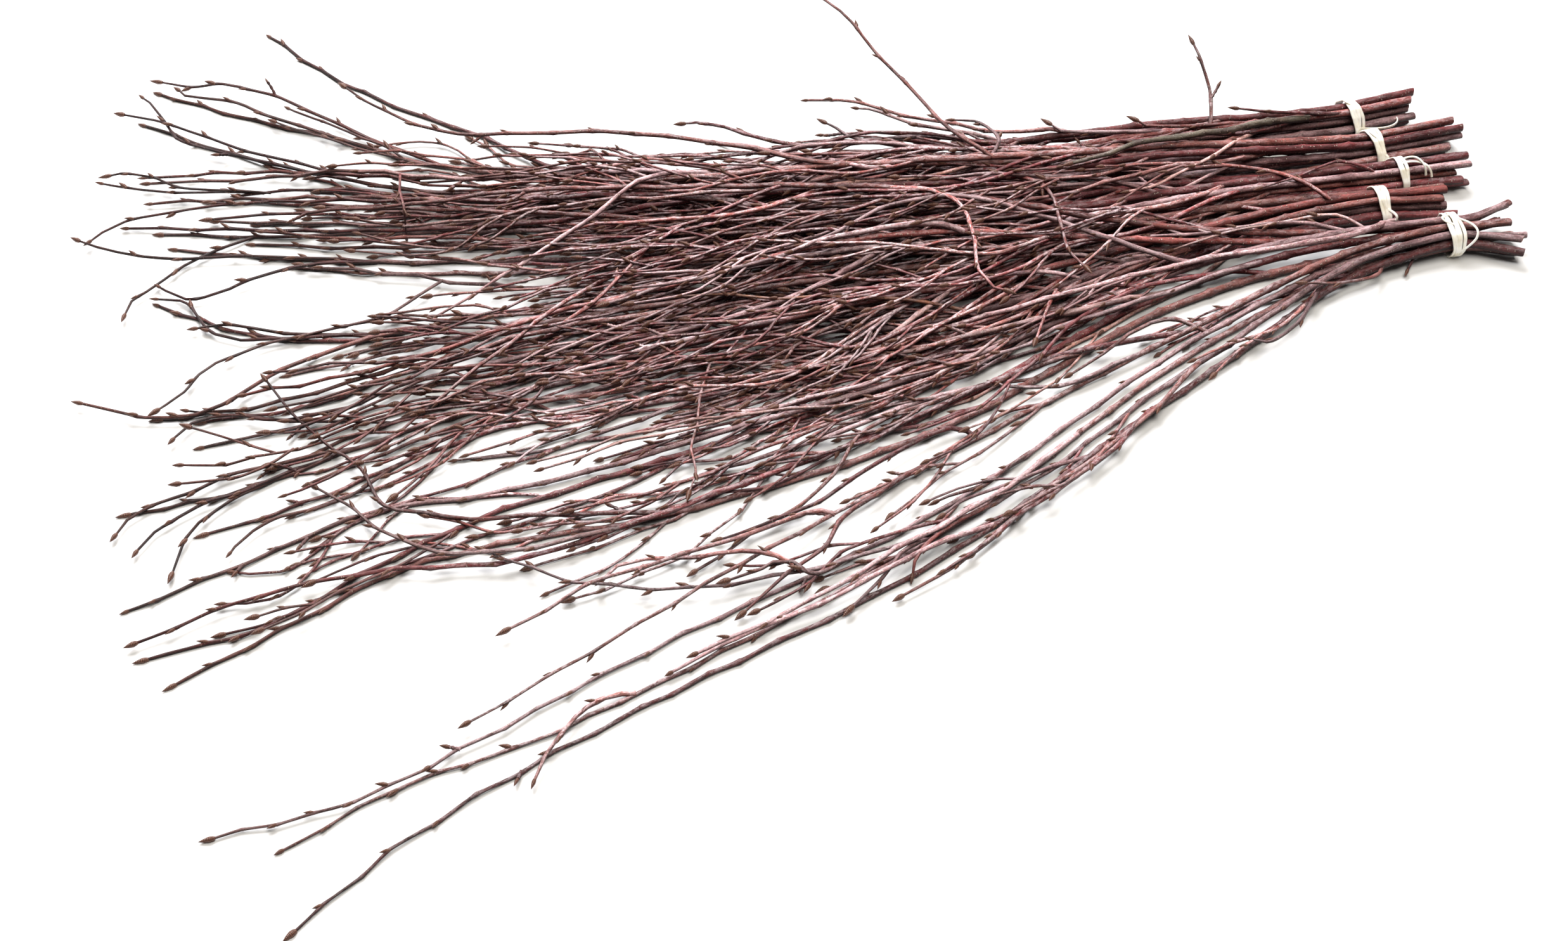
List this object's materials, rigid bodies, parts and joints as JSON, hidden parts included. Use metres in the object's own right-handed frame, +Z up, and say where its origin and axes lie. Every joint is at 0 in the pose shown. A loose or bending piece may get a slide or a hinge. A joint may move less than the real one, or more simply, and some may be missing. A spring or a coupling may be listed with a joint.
{
  "type": "bundle of twigs",
  "caption": "Loose heap of tied bundles of thin birch twigs, cut ends together at one side and the budded tips fanning out at the other.",
  "frame": {"origin": "the middle of the heap's bounding box, on the surface it lies on", "axes": "+X from the spread tips towards the cut ends, along the heap; +Y towards the back bundle; +Z up from the surface"},
  "size_m": [0.821, 0.6472, 0.0735],
  "materials": {
    "bark": "dull red-brown bark with a grey bloom",
    "tie": "matt cream elastic band"
  },
  "bodies": {
    "root": {"bundle_1_stem_1": "bark", "bundle_1_stem_2": "bark", "bundle_1_stem_3": "bark", "bundle_1_stem_4": "bark", "bundle_1_stem_5": "bark", "bundle_1_stem_6": "bark", "bundle_1_stem_7": "bark", "bundle_1_stem_8": "bark", "bundle_1_stem_9": "bark", "bundle_1_tie": "tie", "bundle_1_side_twig_1": "bark", "bundle_1_side_twig_2": "bark", "bundle_2_stem_1": "bark", "bundle_2_stem_2": "bark", "bundle_2_stem_3": "bark", "bundle_2_stem_4": "bark", "bundle_2_stem_5": "bark", "bundle_2_stem_6": "bark", "bundle_2_stem_7": "bark", "bundle_2_stem_8": "bark", "bundle_2_stem_9": "bark", "bundle_2_tie": "tie", "bundle_2_side_twig_3": "bark", "bundle_3_stem_1": "bark", "bundle_3_stem_2": "bark", "bundle_3_stem_3": "bark", "bundle_3_stem_4": "bark", "bundle_3_stem_5": "bark", "bundle_3_stem_6": "bark", "bundle_3_stem_7": "bark", "bundle_3_stem_8": "bark", "bundle_3_stem_9": "bark", "bundle_3_tie": "tie", "bundle_4_stem_1": "bark", "bundle_4_stem_2": "bark", "bundle_4_stem_3": "bark", "bundle_4_stem_4": "bark", "bundle_4_stem_5": "bark", "bundle_4_stem_6": "bark", "bundle_4_stem_7": "bark", "bundle_4_stem_8": "bark", "bundle_4_stem_9": "bark", "bundle_4_tie": "tie", "bundle_4_side_twig_4": "bark", "bundle_5_stem_1": "bark", "bundle_5_stem_2": "bark", "bundle_5_stem_3": "bark", "bundle_5_stem_4": "bark", "bundle_5_stem_5": "bark", "bundle_5_stem_6": "bark", "bundle_5_stem_7": "bark", "bundle_5_stem_8": "bark", "bundle_5_stem_9": "bark", "bundle_5_stem_10": "bark", "bundle_5_tie": "tie", "bundle_5_side_twig_5": "bark", "bundle_5_side_twig_6": "bark", "bundle_5_side_twig_7": "bark", "bundle_5_side_twig_8": "bark", "bundle_5_side_twig_9": "bark"}
  },
  "joints": []
}
